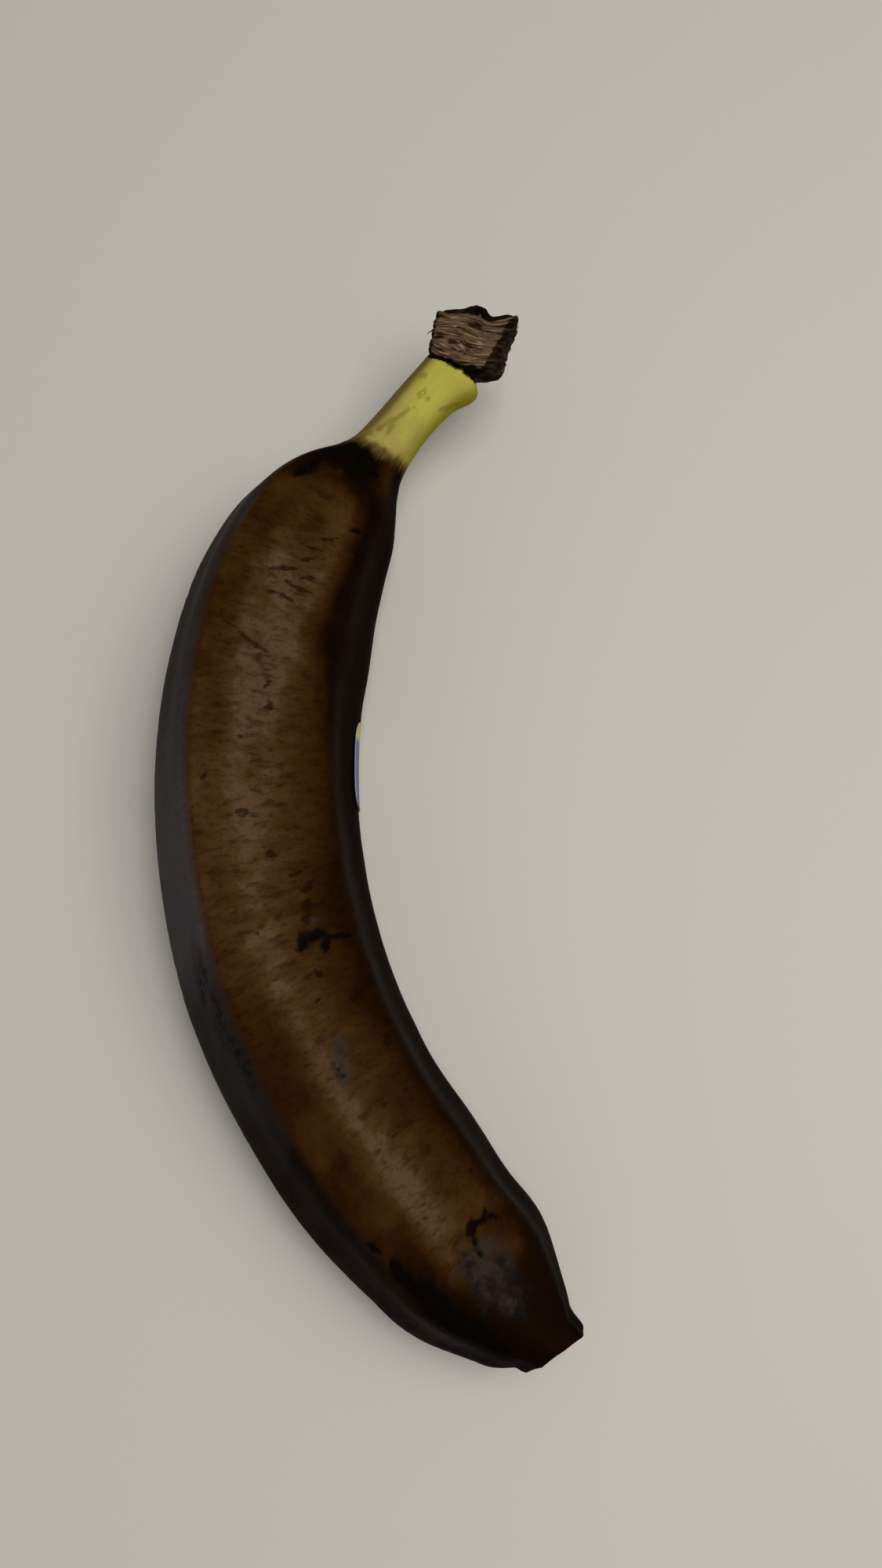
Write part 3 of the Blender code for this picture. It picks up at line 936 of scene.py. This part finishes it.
def makePeelMaterial():
    looks, shares = peelLooks, peelLooks["shares"]
    material, tree, shader, solid = newMaterial("overripe peel")
    spot = placeMap(tree)
    black, crease, smudgeAndGlint = readMasks(tree, "stains")
    blue, amber, spots = readMasks(tree, "tints")
    yellow, ripe, endDark = readMasks(tree, "zones")
    strip, paintedReflection, ridgeLine = readMasks(tree, "sides")

    def noise(name, output="Raw"):
        return useGroup(tree, streaksGroup, output, vector=spot, **looks["noise"][name])

    def fray(mask, name):
        return useGroup(tree, frayGroup, mask=mask, vector=solid, **looks["frays"][name])

    # body: the ripe tone with painted shade on the hollow side and a painted sheen on top, broken up by
    # patches, then red and dark streaks running round, specks and dots
    patches = noise("patches")
    uneven = plus(tree, swing(tree, patches, 0.75), swing(tree, noise("mottle"), 0.85))
    depth = plus(tree, times(tree, ripe, 0.9), 0.12)
    colour = addColourRamp(tree, plus(tree, ripe, times(tree, uneven, depth), clamp=True), looks["ripeness"])
    reds = times(tree, noise("reds", "Mask"), times(tree, ripe, 4.0, clamp=True))
    colour = lay(tree, colour, looks["red"], reds, shares["reds"])
    fineStreaks = noise("fineStreaks", "Mask")
    colour = lay(tree, colour, looks["deep"], fineStreaks, shares["fineStreaks"])
    specks = useGroup(tree, specksGroup, vector=solid, **looks["specks"])
    colour = lay(tree, colour, looks["deep"], specks, shares["specks"])
    dots = useGroup(tree, specksGroup, vector=solid, **looks["dots"])
    dots = times(tree, dots, times(tree, ripe, 3.0, clamp=True))
    colour = lay(tree, colour, looks["red"], dots, shares["dots"])
    amberMask = times(tree, amber, smoothBand(tree, patches, 0.35, 0.65))
    colour = lay(tree, colour, looks["amber"], amberMask, shares["amber"])

    # the outer strip: brown with a painted grey reflection of the worktop, and a red line on the ridge beside
    # it
    reflectionCover = plus(tree, paintedReflection, swing(tree, noise("reflectionCover"), 0.35), clamp=True)
    stripColour = lay(tree, looks["stripBrown"], looks["stripReflection"], reflectionCover)
    stripColour = lay(tree, stripColour, looks["deep"], fineStreaks, shares["stripStreaks"])
    colour = lay(tree, colour, stripColour, strip)
    colour = lay(tree, colour, looks["red"], fray(ridgeLine, "ridge"), shares["ridge"])

    # stains, with one painted glint among the smudges
    endMask = fray(endDark, "end")
    colour = lay(tree, colour, looks["deep"], endMask, shares["end"])
    cloud = plus(tree, times(tree, noise("cloud", "Mask"), 0.6), 0.15)
    colour = lay(tree, colour, looks["smudgeAndGlint"], times(tree, smudgeAndGlint, cloud))
    flecks = plus(tree, times(tree, noise("flecks", "Mask"), 0.75), 0.15)
    colour = lay(tree, colour, looks["blue"], times(tree, blue, flecks))
    creaseMask = smoothBand(tree, plus(tree, crease, swing(tree, noise("nicks"), 1.6)), 0.50, 0.92)
    colour = lay(tree, colour, looks["crease"], creaseMask, shares["crease"])
    blackMask = fray(black, "black")
    colour = lay(tree, colour, looks["black"], blackMask, shares["black"])

    # neck: yellow on top, olive on the hollow side and tan on the outer side, both partly the skin's own tint
    # and partly painted shade where the sides turn from the light, straw and bruises lower down
    onward, sideways = addNode(tree, "ShaderNodeSeparateXYZ", links={"Vector": spot}).outputs[:2]
    neckTone = noise("neckTone")
    lower = smoothBand(tree, onward, 0.0090, 0.0210)
    mottled = plus(tree, times(tree, lower, 0.75), swing(tree, neckTone, 1.6, 0.52), clamp=True)
    neckColour = lay(tree, looks["yellow"], looks["straw"], mottled)
    # painted shade, in part, on the neck's hollow and outer sides
    neckColour = lay(tree, neckColour, looks["green"], smoothBand(tree, sideways, 0.0020, 0.0115, flip=True))
    neckColour = lay(tree, neckColour, looks["side"], smoothBand(tree, sideways, 0.0330, 0.0440))
    neckColour = lay(tree, neckColour, looks["bruise"], noise("neckLines", "Mask"), shares["neckLines"])
    neckColour = lay(tree, neckColour, looks["bruise"], fray(spots, "spots"), shares["spots"])

    # its singed, ragged lower edge, and none of it where the crown has left a black scar
    nearEdge = times(tree, minus(tree, 1.0, yellow), 6.0, clamp=True)
    singe = times(tree, times(tree, minus(tree, neckTone, 0.55), nearEdge), 1.2)
    singed = smoothBand(tree, plus(tree, yellow, singe), 0.50, 1.00, flip=True)
    neckColour = lay(tree, neckColour, looks["bruise"], singed, shares["singed"])
    ragged = times(tree, minus(tree, noise("ragged"), 0.5), times(tree, yellow, 6.0, clamp=True))
    yellowMask = smoothBand(tree, plus(tree, yellow, times(tree, ragged, nearEdge)), 0.10, 0.90)
    scar = times(tree, blackMask, smoothBand(tree, onward, 0.0040, 0.0060, flip=True))
    yellowMask = times(tree, yellowMask, minus(tree, 1.0, scar))
    tree.links.new(lay(tree, colour, neckColour, yellowMask), shader.inputs["Base Color"])

    # finish: satin skin with fine crosswise grain
    rough = times(tree, yellowMask, looks["neckRoughness"] - looks["roughness"])
    rough = plus(tree, plus(tree, rough, swing(tree, patches, looks["roughPatches"])), looks["roughness"])
    rough = plus(tree, rough, times(tree, endMask, looks["endRoughness"]))
    tree.links.new(rough, shader.inputs["Roughness"])
    grain = plus(tree, noise("grain"), times(tree, noise("fineGrain"), looks["fineGrain"]))
    addRelief(tree, shader, grain, looks["grainStrength"], looks["grain"])
    shader.inputs["Specular IOR Level"].default_value = looks["specular"]
    return material


# the crown stub, torn off with the neck

crown = {  # its four long edges in mm, each from the neck end to the torn end
    "upperLeft": ((11.8, 86.0, 25.2), (13.4, 94.9, 24.6)),
    "upperRight": ((22.8, 81.2, 27.0), (29.5, 92.2, 26.6)),
    "lowerRight": ((27.2, 83.7, 18.8), (29.2, 93.3, 19.8)),
    "lowerLeft": ((15.2, 85.8, 13.8), (17.2, 95.2, 13.4)),
    "rows": 110,
    "points": 220,
    "capRows": 26,
    "start": -0.09,  # share of its length
    "length": 10.5 * mm,
    "capLength": 7 * mm,
    "mapRadius": 7 * mm,
    "squareness": 6.0,
    "sag": 1.5 * mm,
    "sway": 0.9 * mm,
    "folds": 0.34 * mm,
    "fibres": 0.10 * mm,
    "swell": 0.40 * mm,
    "fray": 0.07,
    "tuck": 2.2 * mm,
    "neckGroove": 0.25 * mm,
    "notch": 1.1,  # mm, in the upper edge of the torn end
    "raggedness": 0.45,
    "lean": 0.35,
    "dome": 1.3,
    "domeFolds": 0.35,
    "rimDip": 0.6,
    "curl": 1.9,
    "spikes": {(1, 1): 1.3, (-1, 1): 1.1, (1, -1): 0.6, (-1, -1): 1.0},  # mm, at the torn end's corners
    # hollows are carved in and darkened with painted shade
    "hollows": [  # share up the stub, place across, reach of both, depth in mm, how dark
        (0.80, 0.10, 0.06, 0.30, 0.45, 0.9), (0.76, 0.24, 0.07, 0.10, 0.30, 0.8),
        (0.47, -0.72, 0.07, 0.20, 0.40, 0.9), (0.41, -0.20, 0.035, 0.34, 0.30, 0.8),
        (0.33, -0.88, 0.05, 0.12, 0.25, 0.7), (0.34, 0.60, 0.10, 0.10, 0.25, 0.5),
    ],
}


def squareTurn(turn, squareness):
    # place across and up, -1 to 1 each, on a square with rounded corners
    c, s = np.cos(turn), np.sin(turn)
    reach = (np.abs(c) ** squareness + np.abs(s) ** squareness) ** (-1 / squareness)
    return reach * c, reach * s


def crownPoint(share, turn):
    # point of the four-sided stub, its place across and up, and the way out from its middle
    across, up = squareTurn(turn, crown["squareness"])
    weights = {"upperLeft": (1 - across) * (1 + up), "upperRight": (1 + across) * (1 + up),
               "lowerRight": (1 + across) * (1 - up), "lowerLeft": (1 - across) * (1 - up)}
    point, middle = 0.0, 0.0
    for edge, weight in weights.items():
        start, end = (np.array(p) * mm for p in crown[edge])
        corner = start + (end - start) * share[..., None]
        point = point + corner * weight[..., None] / 4
        middle = middle + corner / 4
    away = point - middle
    return point, across, up, away / np.linalg.norm(away, axis=-1, keepdims=True)


def crownForward(turn):
    # the way along the stub at one turn
    start, end = (crownPoint(np.array([share]), np.array([turn]))[0][0] for share in (0.0, 1.0))
    return (end - start) / np.linalg.norm(end - start)


def tornEnd(across, up, turn):
    # how far the torn end reaches on, and how far it leans outwards, in mm
    lip = crown["raggedness"] * noiseOf("crownLip", turn, turn)
    lip = lip - crown["notch"] * bump(across - 0.5, 0.3) * ramp(up, 0.5, 0.9)
    flare = 0.0
    for (sideways, upwards), tall in crown["spikes"].items():
        near = bump(np.hypot(across - sideways, up - upwards), 0.3)
        lip = lip + tall * near
        flare = flare + crown["lean"] * tall * near
    return lip, flare


def crownDome(rim, across, up, forward):
    # inside the rim, a dark fibrous dome whose upper edge curls over: its points and their folds
    heart = rim.mean(axis=0)
    count, capRows = crown["points"], crown["capRows"]
    upper = np.clip(up, 0, 1) * (1 - np.abs(across) ** 2) * (1 - 0.7 * ramp(across, 0.0, 0.6))
    points, folds = [], []
    for row in range(1, capRows):
        inner = 1 - row / capRows
        fold = smoothRandom(np.full(count, row * 0.45), np.arange(count) / count * 30, 14, 30, 261)
        rise = crown["dome"] * (1 - inner ** 2) ** 0.6
        rise = rise - crown["rimDip"] * math.exp(-((inner - 0.94) / 0.05) ** 2)
        curl = crown["curl"] * upper * math.exp(-((inner - 0.66) / 0.16) ** 2)
        tall = (rise + curl + crown["domeFolds"] * fold * (1 - inner * 0.3)) * mm
        points.append(heart + (rim - heart) * inner + tall[:, None] * forward)
        folds.append(fold)
    tip = heart + crown["dome"] * mm * forward
    return points + [tip[None, :]], np.append(np.concatenate(folds), 0.0)


def makeCrown():
    count, capRows, length = crown["points"], crown["capRows"], crown["length"]
    shares = np.linspace(crown["start"], 1.0, crown["rows"])
    share, turn = np.meshgrid(shares, ringTurns(count), indexing="ij")
    along = share * length
    point, across, up, away = crownPoint(share, turn)
    forward = crownForward(0.0)

    # fibres run across, sagging towards the neck between the edges
    wave = along + crown["sag"] * (1 - share) * (1 - across ** 2)
    wave = wave + crown["sway"] * noiseOf("crownFlow", along, turn)
    fold = 1 - 2 * np.abs(noiseOf("crownFolds", wave, turn))
    fine = noiseOf("crownFibres", wave, turn)
    frayed = crown["fray"] * noiseOf("crownFray", along, turn)
    height = crown["folds"] * fold + crown["fibres"] * fine
    height = height + crown["swell"] * noiseOf("crownSwell", along, turn)
    shade = np.zeros(share.shape)
    for place, side, reachAlong, reachAcross, deep, dark in crown["hollows"]:
        slant = share - place - 0.16 * (across - side)
        pit = bump(slant + frayed, reachAlong) * bump(across - side, reachAcross) * ramp(up, 0.8, 1.0)
        height = height - deep * mm * pit
        shade = np.maximum(shade, dark * pit)
    height = height - crown["tuck"] * ramp(-share, -0.02, 0.09)
    height = height - crown["neckGroove"] * bump(share - 0.02, 0.03)
    lip, flare = tornEnd(across, up, turn)
    top = ramp(share, 0.55, 1.0) ** 2
    points = point + away * (height + flare * mm * top)[..., None] + forward * (lip * mm * top)[..., None]
    domePoints, domeFolds = crownDome(points[-1], across[-1], up[-1], forward)
    beyond = length + np.linspace(0, crown["capLength"], capRows)[1:]
    rowAlong = np.concatenate([along[:, 0], beyond, [beyond[-1] + 0.3 * mm]])
    faces, spots = wrapTube(rowAlong, count, crown["mapRadius"], flip=True)

    # masks: the pale upper face, raised folds lightened as a painted highlight, dark edges with painted shade
    # in the hollows, and the fibres' own waves
    pale = ramp(up + frayed, 0.86, 0.97) * (1 - ramp(np.abs(across) + frayed, 0.92, 0.99))
    pale = pale * ramp(share + frayed, -0.02, 0.03) * (1 - 0.5 * ramp(share + frayed, 0.96, 1.0))
    edge = np.maximum(0.6 * ramp(share, 0.965, 1.0), 1 - ramp(share + frayed, -0.02, 0.035))

    def column(values, dome):
        return np.concatenate([values.ravel(), np.zeros(len(domeFolds)) + dome])

    crestHighlight = column(ramp(fold + 0.5 * fine, 0.25, 1.05), ramp(domeFolds, 0.1, 0.9) * 0.6)
    waves = column(wave / (20 * mm), 0.6)
    colours = {
        "bark": np.stack([column(pale, 0.0), crestHighlight, column(np.maximum(edge, shade), 0.60)], axis=-1),
        "waves": np.stack([waves, waves, waves], axis=-1),
    }
    allPoints = np.concatenate([points.reshape(-1, 3)] + domePoints)
    return makeMesh("crownStub", allPoints, faces, spots, colours)


crownLooks = {
    "brown": (0.128, 0.076, 0.040),
    "pale": (0.27, 0.180, 0.115),
    "dark": (0.016, 0.0080, 0.0035),
    "black": (0.0030, 0.0018, 0.0012),
    "roughness": 0.65,
    "fibreRoughness": 0.7,
    "specular": 0.015,
    "grain": 0.16 * mm,
    "grainStrength": 0.8,
    "noise": {
        "fibres": {"along": 2300, "around": 260, "detail": 4, "low": 0.36, "high": 0.64},
        "strands": {"along": 3000, "around": 330, "detail": 3, "low": 0.53, "high": 0.66, "offset": 9},
        "grain": {"along": 3000, "around": 420, "detail": 4, "offset": 5},
        "loose": {"along": 1500, "around": 1500, "detail": 2},
    },
    "specks": {"scale": 1500, "size": 0.3, "share": 0.15},
    "frays": {
        "pale": {"scale": 900, "fray": 0.7, "soft": 0.3},
        "edge": {"scale": 1100, "fray": 0.9, "soft": 0.3},
    },
}


def makeCrownMaterial():
    looks, noise, frays = crownLooks, crownLooks["noise"], crownLooks["frays"]
    material, tree, shader, solid = newMaterial("torn crown")
    pale, crestHighlight, edge = readMasks(tree, "bark")
    waves = readMasks(tree, "waves")[0]
    sideways = addNode(tree, "ShaderNodeSeparateXYZ", links={"Vector": placeMap(tree)}).outputs["Y"]
    onward = times(tree, waves, 0.020)
    flow = addNode(tree, "ShaderNodeCombineXYZ", links={"X": onward, "Y": sideways}).outputs[0]
    fibres = useGroup(tree, streaksGroup, vector=flow, **noise["fibres"])
    strands = useGroup(tree, streaksGroup, vector=flow, **noise["strands"])
    upper = lay(tree, looks["dark"], looks["brown"], fibres)
    # a painted highlight on the raised folds
    upper = lay(tree, upper, looks["brown"], crestHighlight, 0.30)
    upper = lay(tree, upper, looks["pale"], strands, 0.95)
    lower = lay(tree, looks["black"], looks["dark"], fibres)
    lower = lay(tree, lower, looks["brown"], times(tree, crestHighlight, fibres), 0.30)
    colour = lay(tree, lower, upper, useGroup(tree, frayGroup, mask=pale, vector=solid, **frays["pale"]))
    # the edge mask also carries painted shade in the crown's hollows
    edgeMask = useGroup(tree, frayGroup, mask=edge, vector=solid, **frays["edge"])
    colour = lay(tree, colour, looks["black"], edgeMask, 0.85)
    specks = useGroup(tree, specksGroup, vector=solid, **looks["specks"])
    colour = lay(tree, colour, looks["black"], specks, 0.6)
    tree.links.new(colour, shader.inputs["Base Color"])
    shader.inputs["Roughness"].default_value = looks["roughness"]
    shader.inputs["Specular IOR Level"].default_value = looks["specular"]
    grain = useGroup(tree, streaksGroup, "Raw", vector=flow, **noise["grain"])
    addRelief(tree, shader, grain, looks["grainStrength"], looks["grain"])
    return material


# loose fibres at the torn edge

fibres = {
    "sides": 6,
    "steps": 9,
    "thickness": 0.30 * mm,
    "taper": 0.65,
    "runs": [  # share up the stub, turn in degrees, length in mm, lean outwards, curl
        (0.86, 160, 2.3, 0.92, -1.1),
        (0.60, 178, 1.7, 0.8, 0.5),
        (1.00, 132, 1.5, 0.2, -0.5),
        (0.98, -30, 1.5, 0.6, 0.6),
        (0.97, 110, 1.1, -0.2, 0.7),
        (0.99, 84, 1.2, 0.2, -0.6),
        (0.30, 200, 1.5, 0.8, 0.5),
        (0.80, 250, 2.0, 0.6, -0.7),
        (0.12, -20, 1.3, 0.9, 0.4),
    ],
}


def makeFibres():
    points, faces = [], []
    sides, steps = fibres["sides"], fibres["steps"]
    for share, degrees, length, lean, curl in fibres["runs"]:
        turn = math.radians(degrees)
        root, across, up, away = (v[0] for v in crownPoint(np.array([share]), np.array([turn])))
        onward = crownForward(turn)
        sideways = np.cross(away, onward)
        start = len(points)
        for step in range(steps):
            s = step / (steps - 1)
            straight = s * (away * lean + onward * (1 - abs(lean)))
            bent = curl * s * s * (0.1 * sideways + 0.8 * onward)
            centre = root - 0.3 * mm * away + length * mm * (straight + bent)
            radius = fibres["thickness"] * (1 - fibres["taper"] * s)
            for k in range(sides):
                a = 2 * math.pi * k / sides
                points.append(centre + radius * (math.cos(a) * sideways + math.sin(a) * onward))
        for step in range(steps - 1):
            for k in range(sides):
                a, b = start + step * sides + k, start + step * sides + (k + 1) % sides
                faces.append([a, b, b + sides, a + sides])
        faces.append([start + k for k in range(sides)][::-1])
        faces.append([start + (steps - 1) * sides + k for k in range(sides)])
    return makeMesh("crownFibres", np.array(points), faces)


def makeFibreMaterial():
    material, tree, shader, solid = newMaterial("dry fibre")
    mix = useGroup(tree, streaksGroup, vector=solid, **crownLooks["noise"]["loose"])
    tree.links.new(lay(tree, crownLooks["dark"], crownLooks["brown"], mix), shader.inputs["Base Color"])
    shader.inputs["Roughness"].default_value = crownLooks["fibreRoughness"]
    return material


# the blank label on the hollow side

label = {
    "length": 20.0 * mm,
    "width": 15.0 * mm,
    "centre": 88.0 * mm,
    "turn": -30.0,
    "squareness": 5.0,
    "gap": 0.20 * mm,
    "thickness": 0.20 * mm,
    "lift": 0.25 * mm,
    "rings": 26,
    "points": 120,
    "bandShare": 0.24,
    "lineWidth": 0.018,
    "yellow": (0.50, 0.42, 0.04),
    "blue": (0.060, 0.085, 0.22),
    "white": (0.22, 0.24, 0.32),
    "roughness": 0.45,
    "creases": 0.15 * mm,
    "creaseStrength": 0.4,
    "noise": {
        "scuffs": {"along": 600, "around": 600, "detail": 5, "low": 0.55, "high": 0.8},
        "creases": {"along": 350, "around": 350, "detail": 3, "offset": 2},
    },
}


def makeLabel():
    rings, count = label["rings"], label["points"]
    shares = np.linspace(0, 1, rings + 1)[1:]
    share, turn = np.meshgrid(shares, 2 * math.pi * np.arange(count) / count, indexing="ij")
    u, v = (np.append(0.0, (share * side).ravel()) for side in squareTurn(turn, label["squareness"]))
    middle = math.radians(label["turn"])
    armRadius = fruitRadius(np.array(label["centre"]), np.array(middle))
    along = label["centre"] + u * label["length"] / 2
    angle = middle + v * label["width"] / 2 / armRadius
    lift = label["lift"] * np.clip(-u * 1.6 - 0.85, 0, 1) ** 1.5 * np.clip(0.6 + 0.5 * v, 0, 1)
    inner = label["gap"] + lift
    layers = [fruitPoint(along, angle, inner), fruitPoint(along, angle, inner + label["thickness"])]
    half = len(u)
    faces = []
    for start, outward in ((0, False), (half, True)):
        sheet = [[start, start + 1 + i, start + 1 + (i + 1) % count] for i in range(count)]
        for ring in range(rings - 1):
            a = start + 1 + ring * count
            b = a + count
            sheet += [[a + i, b + i, b + (i + 1) % count, a + (i + 1) % count] for i in range(count)]
        faces += sheet if outward else [f[::-1] for f in sheet]
    rim = 1 + (rings - 1) * count
    for i in range(count):
        j = (i + 1) % count
        faces.append([rim + j, half + rim + j, half + rim + i, rim + i])
    lengthwise = np.tile(u, 2) * 0.5 + 0.5
    rimward = np.tile(np.append(0.0, share.ravel()), 2)
    masks = np.stack([lengthwise, rimward, rimward * 0], axis=-1)
    return makeMesh("label", np.concatenate(layers) + fruitOffset, faces, None, {"print": masks}, 40)


def makeLabelMaterial():
    looks = label
    material, tree, shader, solid = newMaterial("label film")
    lengthwise, rimward = readMasks(tree, "print")[:2]
    band = addNode(tree, "ShaderNodeMapRange", links={"Value": lengthwise},
                   inputs={"From Min": looks["bandShare"] + 0.01, "From Max": looks["bandShare"] - 0.01})
    colour = lay(tree, looks["blue"], looks["yellow"], band.outputs[0])
    near = maths(tree, "ABSOLUTE", minus(tree, lengthwise, looks["bandShare"]), 0.0)
    line = maths(tree, "LESS_THAN", near, looks["lineWidth"])
    border = times(tree, maths(tree, "GREATER_THAN", rimward, 0.98), 0.5)
    colour = lay(tree, colour, looks["white"], maths(tree, "MAXIMUM", line, border))
    scuffs = useGroup(tree, streaksGroup, vector=solid, **looks["noise"]["scuffs"])
    tree.links.new(lay(tree, colour, looks["white"], scuffs, 0.35), shader.inputs["Base Color"])
    shader.inputs["Roughness"].default_value = looks["roughness"]
    creases = useGroup(tree, streaksGroup, "Raw", vector=solid, **looks["noise"]["creases"])
    addRelief(tree, shader, creases, looks["creaseStrength"], looks["creases"])
    return material


# building the pieces

dress(makeSkin(), makePeelMaterial(), "peel", "banana")
print("skin made")
dress(makeCrown(), makeCrownMaterial(), "peel", "banana")
dress(makeFibres(), makeFibreMaterial(), "peel", "banana")
print("crown stub made")
dress(makeLabel(), makeLabelMaterial(), "label", "sticker")
print("label made")


# worktop, lights and camera

studio = {
    "floorColour": (0.54, 0.51, 0.455),
    "floorRoughness": 0.6,
    "worldColour": (0.98, 1.0, 1.0),
    "worldStrength": 0.26,
    "softbox": {"place": (0.32, -0.02, 0.95), "size": (0.7, 0.7), "power": 8.0, "colour": (1.0, 0.98, 0.95)},
    "eye": (0.0149, -0.0521, 0.2480),
    "tilt": 13.5,
    "lens": 30.0,
}


def makeFloor():
    bpy.ops.mesh.primitive_plane_add(size=6.0, location=(0, 0, 0))
    floor = bpy.context.object
    floor.name = "worktop"
    material, shader = newMaterial("pale worktop")[::2]
    shader.inputs["Base Color"].default_value = (*studio["floorColour"], 1)
    shader.inputs["Roughness"].default_value = studio["floorRoughness"]
    floor.data.materials.append(material)


def makeLight(name, settings):
    lamp = bpy.data.lights.new(name, "AREA")
    lamp.shape = "RECTANGLE"
    lamp.size, lamp.size_y = settings["size"]
    lamp.energy = settings["power"]
    lamp.color = settings["colour"]
    light = bpy.data.objects.new(name, lamp)
    light.location = settings["place"]
    away = np.array(settings["place"])
    pitch = math.atan2(math.hypot(away[0], away[1]), away[2])
    light.rotation_euler = (pitch, 0, math.atan2(away[0], -away[1]))
    bpy.context.scene.collection.objects.link(light)


def makeStudio():
    world = bpy.data.worlds.new("soft room")
    world.use_nodes = True
    sky = world.node_tree.nodes["Background"]
    sky.inputs["Color"].default_value = (*studio["worldColour"], 1)
    sky.inputs["Strength"].default_value = studio["worldStrength"]
    bpy.context.scene.world = world
    makeLight("softbox", studio["softbox"])
    lens = bpy.data.cameras.new("camera")
    lens.lens = studio["lens"]
    lens.sensor_width = 36
    lens.clip_start = 0.01
    camera = bpy.data.objects.new("camera", lens)
    camera.location = studio["eye"]
    camera.rotation_euler = (math.radians(studio["tilt"]), 0, 0)
    bpy.context.scene.collection.objects.link(camera)
    bpy.context.scene.camera = camera
    bpy.context.scene.view_settings.view_transform = "Standard"


makeFloor()
makeStudio()
print("studio made")
